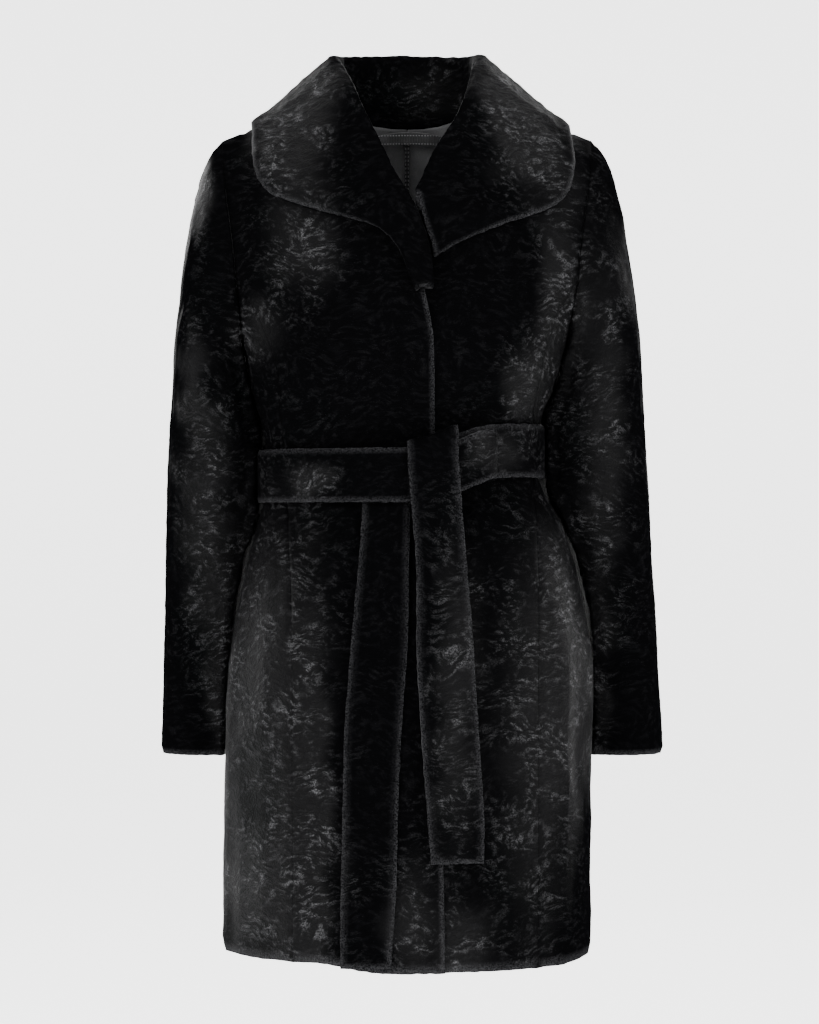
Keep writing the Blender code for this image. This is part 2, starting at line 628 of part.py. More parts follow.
def sleeve(front, side, back, tree, sign):
    """A sleeve from the armhole left by three panels, given as outer grids, beside the body."""
    top = SKIRT_ROWS + WAIST_ROWS + SEAM_ROWS
    loop = list(front[top:, -1][::-1]) + list(side[-1, 1:]) + list(back[top + 1:, -1])
    beside = list(front[top:, -2][::-1]) + list(side[-2, 1:]) + list(back[top + 1:, -2])
    loop = np.array(loop[:-1])
    beside = np.array(beside[:-1])
    count = len(loop)
    away = loop - beside
    away /= np.linalg.norm(away, axis=1, keepdims=True)
    away[0] = np.array((sign, 0.0, -SHOULDER_SLOPE)) / math.hypot(1, SHOULDER_SLOPE)
    start = loop + away * SEAM

    outer_x = table_curve(SLEEVE_RINGS, "height", "outer_right" if sign < 0 else "outer_left")
    deep = table_curve(SLEEVE_RINGS, "height", "half_depth")
    middle = table_curve(SLEEVE_RINGS, "height", "middle")
    levels = np.linspace(SLEEVE_RINGS[-1].height, SLEEVE_RINGS[0].height, 16)
    inner_x = smooth_curve(levels, [side_reach(tree, middle(z) + SLEEVE_TUCK, z, sign)
                                    + SLEEVE_CLEAR for z in levels])

    def ring_point(j, z):
        angle = 2 * math.pi * j / count
        wide = (outer_x(z) - inner_x(z)) / 2
        x = (outer_x(z) + inner_x(z)) / 2 + wide * shaped(math.cos(angle))
        y = middle(z) - deep(z) * shaped(math.sin(angle))
        short = side_reach(tree, y, z, sign) + SLEEVE_CLEAR - x
        x += 0.5 * (short + math.hypot(short, 0.001))
        return np.array((sign * x, y, z))

    def shaped(value):
        return math.copysign(abs(value) ** (2 / 2.2), value)

    outer = np.zeros((CAP_ROWS + ARM_RINGS + 1, count, 3))
    for j in range(count):
        angle = 2 * math.pi * j / count
        end = ring_point(j, SLEEVE_TOP)
        run = end - ring_point(j, SLEEVE_TOP + 0.030)
        run /= np.linalg.norm(run)
        up = 0.5 + 0.5 * math.cos(angle)
        lean = np.array((sign * (0.30 + 0.70 * up), -0.30 * math.sin(angle), -0.85 + 0.65 * up))
        lean /= np.linalg.norm(lean)
        span = np.linalg.norm(end - start[j])
        first = start[j] + lean * (0.012 + 0.020 * up)
        last = end - run * span * 0.38
        for r in range(CAP_ROWS + 1):
            t = (r / CAP_ROWS) ** (1 + 0.25 * up)
            outer[r, j] = ((1 - t) ** 3 * start[j] + 3 * t * (1 - t) ** 2 * first
                           + 3 * t * t * (1 - t) * last + t ** 3 * end)
    for r in range(1, ARM_RINGS + 1):
        z = SLEEVE_TOP + (CUFF - SLEEVE_TOP) * r / ARM_RINGS
        for j in range(count):
            outer[CAP_ROWS + r, j] = ring_point(j, z)
    normals = grid_normals(outer, closed=True) * sign
    for j in range(count):
        lean_back = float(np.dot(normals[0, j], away[j]))
        if lean_back > 0:
            normals[0, j] -= lean_back * away[j]
            normals[0, j] /= np.linalg.norm(normals[0, j])
    outer += normals * sleeve_creases(outer, sign)[..., None]
    return outer, outer - normals * WALL


def sleeve_creases(grid, sign):
    """Low creases at the inside of the elbow and a soft wave along the arm."""
    z = grid[..., 2]
    across = grid[..., 0] * sign
    elbow = np.exp(-((z + 0.385) / 0.060) ** 2)
    inside = np.clip((0.225 - across) / 0.050, 0, 1)
    return 0.0016 * elbow * inside * np.cos((z + 0.385) * 2 * math.pi / 0.060) - 0.0016 * elbow * inside


# ---- collar -------------------------------------------------------------------------------
def collar_grid(stations, trees, neck_edge):
    """Under side of the collar: up the stand, over the fold and down the leaf."""
    grid = []
    for row in stations:
        extra = 0.0
        if row.face < 0:
            extra = lap_lift(row.foot_x, row.foot_z) if row in COLLAR_RIGHT else (
                lap_set_in(row.foot_x, row.foot_z))
        base = body_base(row.foot_x, row.foot_z, row.face)
        normal = body_normal(base, row.face)
        foot = base + normal * extra
        crest = np.array((row.crest_x, row.crest_y, row.crest_z))
        edge = np.array((row.edge_x, row.edge_y, row.edge_z))
        rise = crest - foot
        height = np.linalg.norm(rise)
        rise /= height
        over = normal - np.dot(normal, rise) * rise
        over /= np.linalg.norm(over)
        radius = min(ROLL_RADIUS, height * 0.4)
        centre = crest - rise * radius
        reach = edge - crest
        end_turn = math.atan2(-float(np.dot(reach, rise)), float(np.dot(reach, over)))
        end_turn = min(max(end_turn * 0.85, 0.2), math.radians(165))
        stand_top = centre - over * radius
        profile = [foot + (stand_top - foot) * i / STAND_STEPS for i in range(STAND_STEPS)]
        for i in range(ROLL_STEPS + 1):
            turn = -math.pi / 2 + (end_turn + math.pi / 2) * i / ROLL_STEPS
            profile.append(centre + radius * (math.sin(turn) * over + math.cos(turn) * rise))
        start = profile[-1]
        heading = math.cos(end_turn) * over - math.sin(end_turn) * rise
        length = np.linalg.norm(edge - start)
        first = start + heading * length * 0.35
        last = edge - (edge - start) * 0.30 + over * length * 0.06
        for i in range(1, LEAF_STEPS + 1):
            t = i / LEAF_STEPS
            profile.append((1 - t) ** 3 * start + 3 * t * (1 - t) ** 2 * first
                           + 3 * t * t * (1 - t) * last + t ** 3 * edge)
        grid.append(profile)
    under = between_stations(np.array(grid).transpose(1, 0, 2), 2)
    turn_row = STAND_STEPS + ROLL_STEPS
    centre_column = 2 * (len(COLLAR_RIGHT)) + 1
    for columns, tree in ((slice(0, centre_column), trees[0]),
                          (slice(centre_column - 1, None), trees[1])):
        settle(under[turn_row:, columns], tree, seat_last=True)
        clear_faces(under[turn_row - 1:, columns], tree)
    top = under + grid_normals(under) * WALL
    under[0], top[0] = seam_feet(under[0], *neck_edge)
    return under, top


def seam_feet(row, outer_edge, inner_edge):
    """The row moved onto the edge of the panels' wall, just above it."""
    outer = np.zeros(row.shape)
    inner = np.zeros(row.shape)
    starts = outer_edge[:-1]
    steps = outer_edge[1:] - starts
    for c, point in enumerate(row):
        shares = ((point - starts) * steps).sum(axis=1) / (steps * steps).sum(axis=1)
        shares = np.clip(shares, 0, 1)
        spots = starts + steps * shares[:, None]
        i = int(np.argmin(np.linalg.norm(spots - point, axis=1)))
        inner_spot = inner_edge[i] + (inner_edge[i + 1] - inner_edge[i]) * shares[i]
        edge_out = np.cross(steps[i], spots[i] - inner_spot)
        edge_out *= NECK_SEAM / np.linalg.norm(edge_out)
        outer[c] = spots[i] + edge_out
        inner[c] = inner_spot + edge_out
    return outer, inner


def between_stations(grid, steps):
    """The grid with smooth columns added between its stations."""
    count = grid.shape[1]
    places = np.arange(count)
    fine = np.linspace(0, count - 1, (count - 1) * steps + 1)
    dense = np.zeros((grid.shape[0], len(fine), 3))
    for r in range(grid.shape[0]):
        for axis in range(3):
            curve = smooth_curve(places, grid[r, :, axis])
            dense[r, :, axis] = [curve(place) for place in fine]
    return dense


def settle(rows, tree, seat_last=False, clear=LIE):
    """Moves points out of what they lie on; the last row is brought down onto it."""
    last = len(rows) - 1
    for r, row in enumerate(rows):
        for point in row:
            spot, normal, _, _ = tree.find_nearest(Vector(point))
            height = (Vector(point) - spot).dot(normal)
            if height < clear or (seat_last and r == last):
                point[:] = Vector(point) + normal * (clear - height)


def clear_faces(grid, tree, clear=LEAF_LIE, rounds=8):
    """Moves whole faces of a grid out of what they lie on."""
    for _ in range(rounds):
        push = np.zeros(grid.shape[:2])
        ways = np.zeros(grid.shape)
        for r in range(grid.shape[0] - 1):
            for c in range(grid.shape[1] - 1):
                corners = grid[r:r + 2, c:c + 2]
                for u, v in product((0, 0.25, 0.5, 0.75, 1), repeat=2):
                    share = np.array((((1 - u) * (1 - v), (1 - u) * v), (u * (1 - v), u * v)))
                    point = Vector((corners * share[..., None]).sum(axis=(0, 1)))
                    spot, normal, _, _ = tree.find_nearest(point)
                    short = clear - (point - spot).dot(normal)
                    for a in range(2):
                        for b in range(2):
                            if share[a, b] > 0 and short > push[r + a, c + b]:
                                push[r + a, c + b] = short
                                ways[r + a, c + b] = normal
        grid += ways * push[..., None]


# ---- belt ---------------------------------------------------------------------------------
def outermost(tree, x, z, face):
    """The outermost y that the tree's pieces reach at this place."""
    hit = tree.ray_cast(Vector((x, face * 0.5, z)), Vector((0, -face, 0)))
    return hit[0].y if hit[0] else None


def furthest(tree, xs, heights):
    """The y furthest forward among some places."""
    hits = [outermost(tree, x, z, -1) for x in xs for z in heights]
    return min(hit for hit in hits if hit is not None)


def belt_ring(tree):
    """The belt round the waist: a taut band over everything under it."""
    turns = np.radians(np.linspace(BELT_START, BELT_START + BELT_ROUND, BELT_COLUMNS + 1))
    offsets = (-0.5, -0.17, 0.17, 0.5)
    centre = Vector((-0.005, 0.0, 0.0))
    radii = []
    for turn in turns:
        far = 0.0
        for beside in np.linspace(-0.066, 0.066, 9):
            way = Vector((math.sin(turn + beside), -math.cos(turn + beside), 0))
            x = centre.x + 0.14 * way.x
            middle = waist_height(x, -1 if way.y < 0 else 1)
            for offset in np.linspace(-0.53, 0.53, 7):
                start = centre + way * 0.4 + Vector((0, 0, middle + offset * BELT_WIDTH))
                hit = tree.ray_cast(start, -way)[0]
                far = max(far, 0.4 - (start - hit).length)
        radii.append(far)
    radii = np.array(radii)
    for _ in range(2):
        padded = np.concatenate((radii[:1], radii, radii[-1:]))
        radii = np.maximum(radii, (padded[:-2] + padded[2:]) / 2)
    outer = np.zeros((len(offsets), len(turns), 3))
    for c, turn in enumerate(turns):
        x = centre.x + 0.14 * math.sin(turn)
        middle = waist_height(x, -1 if math.cos(turn) > 0 else 1)
        for r, offset in enumerate(offsets):
            radius = radii[c] + BELT_LIE + WALL
            outer[r, c] = (centre.x + radius * math.sin(turn), -radius * math.cos(turn),
                           middle + offset * BELT_WIDTH)
    return outer


def tail_grid(table, tree):
    """Under side of a hanging belt end, from its top down, on what lies beneath it."""
    middle = table_curve(table, "height", "middle")
    half = table_curve(table, "height", "half_width")
    heights = np.linspace(table[0].height, table[-1].height, TAIL_ROWS + 1)
    grid = np.zeros((len(heights), TAIL_COLUMNS + 1, 3))
    for c in range(TAIL_COLUMNS + 1):
        side = 2 * c / TAIL_COLUMNS - 1
        y = 0.0
        for r, z in enumerate(heights):
            x = middle(z) + half(z) * side
            beside = half(z) / TAIL_COLUMNS
            y = min(y, furthest(tree, np.linspace(x - 2 * beside, x + 2 * beside, 9),
                                (z - 0.012, z, z + 0.012)) - LIE)
            grid[r, c] = (x, y, z)
    level = grid[..., 1].mean(axis=1, keepdims=True)
    grid[..., 1] = np.minimum(grid[..., 1], 0.4 * grid[..., 1] + 0.6 * level)
    return grid


def tail_over_belt(grid, body_tree, belt):
    """The front tail's first rows, which reach from the body over the belt's top edge."""
    ahead = belt[-1][belt[-1, :, 1] < -0.05]
    ahead = ahead[ahead[:, 0].argsort()]
    rows = []
    for share, rise in ((0.0, 0.0), (0.5, 0.0008), (1.0, 0.0), (1.1, -0.0045)):
        row = grid[0].copy()
        for point in row:
            x = point[0]
            top = max(np.interp((x - 0.008, x, x + 0.008), ahead[:, 0], ahead[:, 2])) + 0.0014
            near = furthest(body_tree, (x - 0.008, x, x + 0.008),
                            (top, top + 0.004, top + 0.008)) - LIE
            point[1] = near + (point[1] - near) * share
            point[2] = top + rise
        rows.append(row)
    return np.concatenate((np.array(rows), grid))


def knot_lobe(tree):
    """The turn of the belt beside the front tail: a band folded back on itself."""
    fold = WALL + KNOT_HOLLOW
    steps = ([(x, 2 * fold, 0.0) for x in np.linspace(KNOT_LEFT, KNOT_TURN, 5)]
             + [(KNOT_TURN, fold * (1 + math.cos(a)), fold * math.sin(a))
                for a in np.radians((36, 72, 108, 144))]
             + [(x, 0.0, 0.0) for x in np.linspace(KNOT_TURN, KNOT_LEFT + 0.008, 4)])
    offsets = np.array((-1.0, -0.4, 0.4, 1.0))
    grid = np.zeros((len(offsets), len(steps), 3))
    for c, (x, out, along) in enumerate(steps):
        middle = waist_height(x, -1)
        y = min(outermost(tree, x, middle + offset * KNOT_HALF * 0.9, -1) for offset in offsets)
        beside = min(outermost(tree, x + 0.004, middle + offset * KNOT_HALF * 0.9, -1)
                     for offset in offsets)
        run = np.array((0.004, beside - y))
        run /= np.linalg.norm(run)
        away = np.array((run[1], -run[0]))
        place = np.array((x, y)) + away * (LIE + out) + run * along
        grid[:, c, 0] = place[0]
        grid[:, c, 1] = place[1]
        round_off = 1 - 0.10 * ramp(x + along, KNOT_TURN - 0.01, KNOT_TURN + fold)
        grid[:, c, 2] = middle + offsets * KNOT_HALF * round_off
    return grid


# ---- inside the back neck -----------------------------------------------------------------
def inside_back(tree, x, z):
    """The y of the back's inner side."""
    return tree.ray_cast(Vector((x, 0.0, z)), Vector((0, 1, 0)))[0].y


def hanger_loop(tree):
    """The side of the loop that faces the back neck."""
    shares = np.linspace(-1, 1, 9)
    grid = np.zeros((2, len(shares), 3))
    for c, share in enumerate(shares):
        x = LOOP_HALF * share + 0.002
        arch = LOOP_ARCH * (1 - share * share)
        for r, offset in enumerate((0.5, -0.5)):
            z = LOOP_HEIGHT + arch + offset * LOOP_WIDTH
            near = min(inside_back(tree, x, z), inside_back(tree, x, LOOP_HEIGHT))
            grid[r, c] = (x, near - LIE - arch, z)
    return grid


def centre_tape(tree):
    """The side of the tape that lies on the centre-back seam."""
    heights = np.linspace(0.012, HEM + 0.004, 25)
    grid = np.zeros((len(heights), 2, 3))
    for r, z in enumerate(heights):
        near = min(inside_back(tree, x, min(z + beside, heights[0]))
                   for x in (-CENTRE_TAPE_HALF, CENTRE_TAPE_HALF)
                   for beside in np.linspace(-0.018, 0.018, 5) if z + beside > HEM)
        for c, x in enumerate((-CENTRE_TAPE_HALF, CENTRE_TAPE_HALF)):
            grid[r, c] = (x, near - LIE, z)
    return grid


# ---- build --------------------------------------------------------------------------------
for old in list(bpy.data.objects):
    bpy.data.objects.remove(old, do_unlink=True)
coat = bpy.data.collections.new("shearling_stroller_coat")
bpy.context.scene.collection.children.link(coat)

fur = material("black_shearling", BLACK_FUR, 0.55)
suede = material("grey_suede", GREY_SUEDE, 0.95)

NECK_BACK = [Spot(NECK_HALF * t, shoulder_height(0) - NECK_BACK_DROP * (1 - t ** 2.5))
             for t in (0.0, 0.25, 0.5, 0.75, 0.92)]
panels = {
    "front_right": torso_panel(LAP_EDGE, SEAM_RIGHT, NECK_RIGHT, -1, -1, FRONT_COLUMNS,
                               lap_lift),
    "front_left": torso_panel(UNDER_EDGE, SEAM_LEFT, NECK_LEFT, 1, -1, FRONT_COLUMNS,
                              lap_set_in),
    "side_right": side_panel(SEAM_RIGHT, -1),
    "side_left": side_panel(SEAM_LEFT, 1),
}
for name, sign in (("back_right", -1), ("back_left", 1)):
    seam = [Edge(row.height, sign * row.x) for row in SEAM_BACK]
    spots = [Spot(sign * spot.x, spot.z) for spot in NECK_BACK]
    panels[name] = torso_panel(None, seam, spots, sign, 1, BACK_COLUMNS, flat)

for name, (outer, inner) in panels.items():
    wall(name, pull_in(outer, SEAM / 2), pull_in(inner, SEAM / 2), fur)

body = [outer for outer, inner in panels.values()]
backs = [panels["back_right"][0], panels["back_left"][0]]
stations = COLLAR_RIGHT + COLLAR_BACK + COLLAR_LEFT
trees = [surface_tree(backs + [panels["front_" + side][0], panels["side_" + side][0]])
         for side in ("right", "left")]
neck_edge = []
for layer in (0, 1):
    front_right, front_left, back_right, back_left = (
        panels[name][layer] for name in ("front_right", "front_left", "back_right", "back_left"))
    neck_edge.append(np.concatenate((
        front_right[-SEAM_ROWS - ARM_ROWS - 1:-1, 0], front_right[-1, :NECK_COLUMNS],
        back_right[-1, BACK_NECK_COLUMNS:0:-1], back_left[-1, :BACK_NECK_COLUMNS],
        front_left[-1, NECK_COLUMNS::-1])))
collar, collar_top = collar_grid(stations, trees, neck_edge)
wall("collar", collar, collar_top, fur)

fronts = [panels["front_right"][0], panels["front_left"][0]]
under_tail = tail_grid(UNDER_TAIL, surface_tree(fronts))
under_top = under_tail - grid_normals(under_tail) * WALL
wall("belt_tail_under", under_top, under_tail, fur)

belt = belt_ring(surface_tree(body + [under_top]))
wall("belt_wrap", belt, belt - grid_normals(belt) * WALL, fur)

for name, sign in (("right", -1), ("left", 1)):
    sides = [panels[place + name][0] for place in ("front_", "side_", "back_")]
    outer, inner = sleeve(*sides, surface_tree([*sides, belt]), sign)
    wall("sleeve_" + name, outer, inner, fur, closed=True)

layers = [panels["front_right"][0], panels["front_left"][0], under_top, belt]
lobe = knot_lobe(surface_tree(layers))
wall("belt_knot", lobe, lobe - grid_normals(lobe) * WALL, fur)

front_tail = tail_grid(FRONT_TAIL, surface_tree(layers + [lobe]))
front_tail = tail_over_belt(front_tail, surface_tree(fronts), belt)
wall("belt_tail_front", front_tail - grid_normals(front_tail) * WALL, front_tail, fur)

back_tree = surface_tree([panels["back_right"][1], panels["back_left"][1]])
loop = hanger_loop(back_tree)
wall("hanger_loop", loop, loop - grid_normals(loop) * LOOP_WALL, suede)
tape = centre_tape(back_tree)
wall("centre_back_tape", tape, tape - grid_normals(tape) * CENTRE_TAPE_WALL, suede)
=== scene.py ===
import math

import bmesh
import bpy
import numpy as np
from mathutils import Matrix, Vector, noise
from mathutils.bvhtree import BVHTree
from mathutils.kdtree import KDTree


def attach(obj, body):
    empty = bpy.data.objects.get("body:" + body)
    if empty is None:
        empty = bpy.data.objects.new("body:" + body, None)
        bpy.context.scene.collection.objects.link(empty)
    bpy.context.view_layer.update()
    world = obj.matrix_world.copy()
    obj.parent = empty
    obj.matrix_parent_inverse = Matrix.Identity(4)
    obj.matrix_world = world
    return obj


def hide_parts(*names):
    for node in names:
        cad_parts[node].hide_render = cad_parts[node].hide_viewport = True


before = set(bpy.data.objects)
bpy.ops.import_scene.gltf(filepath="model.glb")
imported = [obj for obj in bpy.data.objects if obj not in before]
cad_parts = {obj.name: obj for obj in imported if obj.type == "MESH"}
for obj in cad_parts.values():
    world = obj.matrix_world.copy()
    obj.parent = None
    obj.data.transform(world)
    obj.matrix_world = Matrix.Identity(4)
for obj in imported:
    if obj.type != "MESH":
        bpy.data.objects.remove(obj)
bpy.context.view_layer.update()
print("frame loaded")


def newMaterial(name, roughness):
    mat = bpy.data.materials.new(name)
    mat.use_nodes = True
    shader = mat.node_tree.nodes["Principled BSDF"]
    shader.inputs["Roughness"].default_value = roughness
    return mat, mat.node_tree.nodes, mat.node_tree.links, shader


def spots(nodes, links, source, scale, detail=3.0, kind="FBM", rough=0.55):
    tex = nodes.new("ShaderNodeTexNoise")
    tex.noise_type = kind
    tex.inputs["Scale"].default_value = scale
    tex.inputs["Detail"].default_value = detail
    tex.inputs["Roughness"].default_value = rough
    links.new(source, tex.inputs["Vector"])
    return tex


def remap(nodes, links, source, low, high, toLow=0.0, toHigh=1.0):
    step = nodes.new("ShaderNodeMapRange")
    step.interpolation_type = "SMOOTHSTEP"
    for name, value in (("From Min", low), ("From Max", high), ("To Min", toLow), ("To Max", toHigh)):
        step.inputs[name].default_value = value
    links.new(source, step.inputs["Value"])
    return step.outputs["Result"]


def maths(nodes, links, operation, a, b):
    step = nodes.new("ShaderNodeMath")
    step.operation = operation
    for socket, value in zip(step.inputs, (a, b)):
        if isinstance(value, (int, float)):
            socket.default_value = value
        else:
            links.new(value, socket)
    return step.outputs[0]


def blendColours(nodes, links, factor, a, b):
    step = nodes.new("ShaderNodeMix")
    step.data_type = "RGBA"
    links.new(factor, step.inputs["Factor"])
    for socket, value in ((step.inputs[6], a), (step.inputs[7], b)):
        if isinstance(value, tuple):
            socket.default_value = (*value, 1)
        else:
            links.new(value, socket)
    return step.outputs[2]


def addBump(nodes, links, shader, height, distance, strength, under=None):
    bump = nodes.new("ShaderNodeBump")
    bump.inputs["Distance"].default_value = distance
    bump.inputs["Strength"].default_value = strength
    links.new(height, bump.inputs["Height"])
    if under:
        links.new(under, bump.inputs["Normal"])
    links.new(bump.outputs["Normal"], shader.inputs["Normal"])
    return bump.outputs["Normal"]


furLook = {
    "deep": (0.0013, 0.0013, 0.0015),   # painted shade in the hollows between the locks; also the dark base of the cut face
    "tip": (0.0032, 0.0032, 0.0036),    # ridge crests, lighter than the painted shade in the hollows
    "paintedHighlight": (0.088, 0.088, 0.092),   # painted highlight: grey put into the colour where the pile catches the light
    "edge": (0.028, 0.028, 0.030),      # painted highlight: the fur lighter along the open edges, where the tips catch the light
    "cut": (0.070, 0.070, 0.074),       # wool and skin seen on the cut itself, partly their own grey and partly a painted highlight
    "ridgeScale": 135.0,                # crushed ridges a metre
}


def furMaterial():
    mat, nodes, links, shader = newMaterial("blackShearling", 0.6)
    where = nodes.new("ShaderNodeTexCoord").outputs["Object"]
    bend = spots(nodes, links, where, 10.0, 3.0)
    shift = nodes.new("ShaderNodeVectorMath")  # the ridges wander with this slow noise
    shift.operation = "MULTIPLY_ADD"
    links.new(bend.outputs["Color"], shift.inputs[0])
    shift.inputs[1].default_value = (0.09, 0.09, 0.07)
    links.new(where, shift.inputs[2])
    squeeze = nodes.new("ShaderNodeMapping")
    squeeze.inputs["Scale"].default_value = (0.8, 0.8, 1.6)
    links.new(shift.outputs[0], squeeze.inputs["Vector"])
    ridges = spots(nodes, links, squeeze.outputs[0], furLook["ridgeScale"], 4.0, rough=0.62)
    crest = remap(nodes, links, ridges.outputs["Fac"], 0.46, 0.68)
    fibres = spots(nodes, links, where, 1500.0, 2.0)
    locks = spots(nodes, links, where, 760.0, 3.0)
    patches = spots(nodes, links, where, 34.0, 4.0)
    attributes = {}
    for name in ("napAndHighlight", "rim"):
        attributes[name] = nodes.new("ShaderNodeAttribute")
        attributes[name].attribute_name = name
    # this mask sets the sheen, gloss and bump, and also where the highlight is painted into the colour
    napAndHighlight = attributes["napAndHighlight"].outputs["Fac"]
    lockTips = remap(nodes, links, locks.outputs["Fac"], 0.35, 0.65)
    mottle = remap(nodes, links, patches.outputs["Fac"], 0.36, 0.66)
    lit = maths(nodes, links, "MULTIPLY", maths(nodes, links, "MULTIPLY", crest, mottle), lockTips)
    lit = maths(nodes, links, "MULTIPLY", lit, napAndHighlight)
    # painted shade: the ridge hollows get the darker colour, the crests the lighter one
    base = blendColours(nodes, links, maths(nodes, links, "MULTIPLY", crest, fibres.outputs["Fac"]),
                        furLook["deep"], furLook["tip"])
    # painted highlight: the lit mask lightens the black to grey in the highlight patches
    colour = blendColours(nodes, links, lit, base, furLook["paintedHighlight"])
    # painted highlight along the open edges, from the rim mask
    edge = maths(nodes, links, "MULTIPLY", attributes["rim"].outputs["Fac"], lockTips)
    colour = blendColours(nodes, links, edge, colour, furLook["edge"])
    links.new(colour, shader.inputs["Base Color"])
    links.new(remap(nodes, links, lit, 0.0, 0.7, 0.0, 0.20), shader.inputs["Sheen Weight"])
    shader.inputs["Sheen Roughness"].default_value = 0.4
    shader.inputs["Sheen Tint"].default_value = (0.6, 0.6, 0.64, 1)
    links.new(remap(nodes, links, napAndHighlight, 0.1, 0.9, 0.0, 0.08), shader.inputs["Specular IOR Level"])
    under = addBump(nodes, links, shader, ridges.outputs["Fac"], 0.0030, 0.9)
    links.new(remap(nodes, links, napAndHighlight, 0.05, 0.9, 0.12, 0.9), under.node.inputs["Strength"])
    under = addBump(nodes, links, shader, locks.outputs["Fac"], 0.0010, 0.5, under)
    addBump(nodes, links, shader, fibres.outputs["Fac"], 0.0004, 0.5, under)
    return mat


def ripple(nodes, links, source, length):
    turns = maths(nodes, links, "MULTIPLY", source, 2 * math.pi / length)
    return maths(nodes, links, "SINE", turns, 0.0)


def farFrom(nodes, links, source, place):
    return maths(nodes, links, "ABSOLUTE", maths(nodes, links, "SUBTRACT", source, place), 0.0)


def suedeMaterial(name, dark, light, stitches=None):
    mat, nodes, links, shader = newMaterial(name, 0.95)
    where = nodes.new("ShaderNodeTexCoord").outputs["Object"]
    cloud = spots(nodes, links, where, 34.0, 5.0)
    grain = spots(nodes, links, where, 900.0, 3.0)
    factor = maths(nodes, links, "MULTIPLY", remap(nodes, links, cloud.outputs["Fac"], 0.3, 0.7, 0.35, 1.0),
                   remap(nodes, links, grain.outputs["Fac"], 0.3, 0.7, 0.6, 1.0))
    colour = blendColours(nodes, links, factor, dark, light)
    if stitches:  # rows of thread that follow one axis, at set places on another
        parts = nodes.new("ShaderNodeSeparateXYZ")
        links.new(where, parts.inputs[0])
        along = parts.outputs[stitches["along"]]
        across = parts.outputs[stitches["across"]]
        dash = ripple(nodes, links, along, stitches["length"])
        off = farFrom(nodes, links, across, stitches["middle"])
        off = farFrom(nodes, links, off, stitches["apart"])
        row = remap(nodes, links, off, stitches["half"], stitches["half"] * 0.5)
        thread = maths(nodes, links, "MULTIPLY", row, remap(nodes, links, dash, -0.3, 0.1))
        colour = blendColours(nodes, links, thread, colour, stitches["colour"])
        ribs = ripple(nodes, links, along, stitches["rib"])
        shade = remap(nodes, links, parts.outputs[0], stitches["shadeFrom"], stitches["shadeTo"], 0.0, 0.7)
        colour = blendColours(nodes, links, shade, colour, stitches["shade"])
    links.new(colour, shader.inputs["Base Color"])
    shader.inputs["Sheen Weight"].default_value = 0.1
    shader.inputs["Specular IOR Level"].default_value = 0.1
    under = addBump(nodes, links, shader, cloud.outputs["Fac"], 0.0012, 0.3)
    if stitches:
        under = addBump(nodes, links, shader, ribs, 0.0003, 0.6, under)
        under = addBump(nodes, links, shader, thread, 0.0004, 0.8, under)
    addBump(nodes, links, shader, grain.outputs["Fac"], 0.0003, 0.45, under)
    return mat


def cutMaterial():
    mat, nodes, links, shader = newMaterial("cutEdge", 0.95)
    where = nodes.new("ShaderNodeTexCoord").outputs["Object"]
    rim = nodes.new("ShaderNodeAttribute")
    rim.attribute_name = "rim"
    locks = spots(nodes, links, where, 420.0, 3.0)
    tips = remap(nodes, links, locks.outputs["Fac"], 0.3, 0.7, 0.25, 1.0)
    # the cut's own grey plus a painted highlight, following the rim mask
    factor = maths(nodes, links, "MULTIPLY", rim.outputs["Fac"], tips)
    colour = blendColours(nodes, links, factor, furLook["deep"], furLook["cut"])
    links.new(colour, shader.inputs["Base Color"])
    shader.inputs["Specular IOR Level"].default_value = 0.05
    addBump(nodes, links, shader, locks.outputs["Fac"], 0.0008, 0.6)
    return mat


fur = furMaterial()
suede = suedeMaterial("greySuede", (0.060, 0.060, 0.062), (0.135, 0.135, 0.139))
cutEdge = cutMaterial()
print("materials made")


def mergedCopy(name):
    mesh = bmesh.new()
    mesh.from_mesh(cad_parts[name].data)
    bmesh.ops.remove_doubles(mesh, verts=mesh.verts[:], dist=0.00002)
    bmesh.ops.join_triangles(mesh, faces=mesh.faces[:], angle_face_threshold=0.9, angle_shape_threshold=1.2)
    mesh.faces.ensure_lookup_table()
    return mesh


def outerSheet(name, wallThickness, side, sharpest, reach):
    mesh = mergedCopy(name)
    mesh.normal_update()
    tree = BVHTree.FromBMesh(mesh)
    skin = set()
    for face in mesh.faces:  # faces with the wall's own thickness behind them
        middle = face.calc_center_median()
        hit, normal, index, far = tree.ray_cast(middle - face.normal * wallThickness * 0.3, -face.normal)
        if hit and far < wallThickness * reach and normal.dot(face.normal) < -0.4 / reach:
            skin.add(face)
    sides = []
    left = set(skin)
    while left:
        patch = {left.pop()}
        edge = list(patch)
        while edge:
            for line in edge.pop().edges:
                if line.calc_face_angle(0.0) > math.radians(sharpest):
                    continue  # the cut edge of the wall
                for other in line.link_faces:
                    if other in left:
                        left.discard(other)
                        patch.add(other)
                        edge.append(other)
        sides.append(patch)
    sides.sort(key=lambda patch: -sum(face.calc_area() for face in patch))
    chosen = sides[0]
    if side == "front":
        chosen = min(sides[:2], key=lambda patch: sum(face.normal.y * face.calc_area() for face in patch))
    bmesh.ops.delete(mesh, geom=[face for face in mesh.faces if face not in chosen], context="FACES")
    return mesh


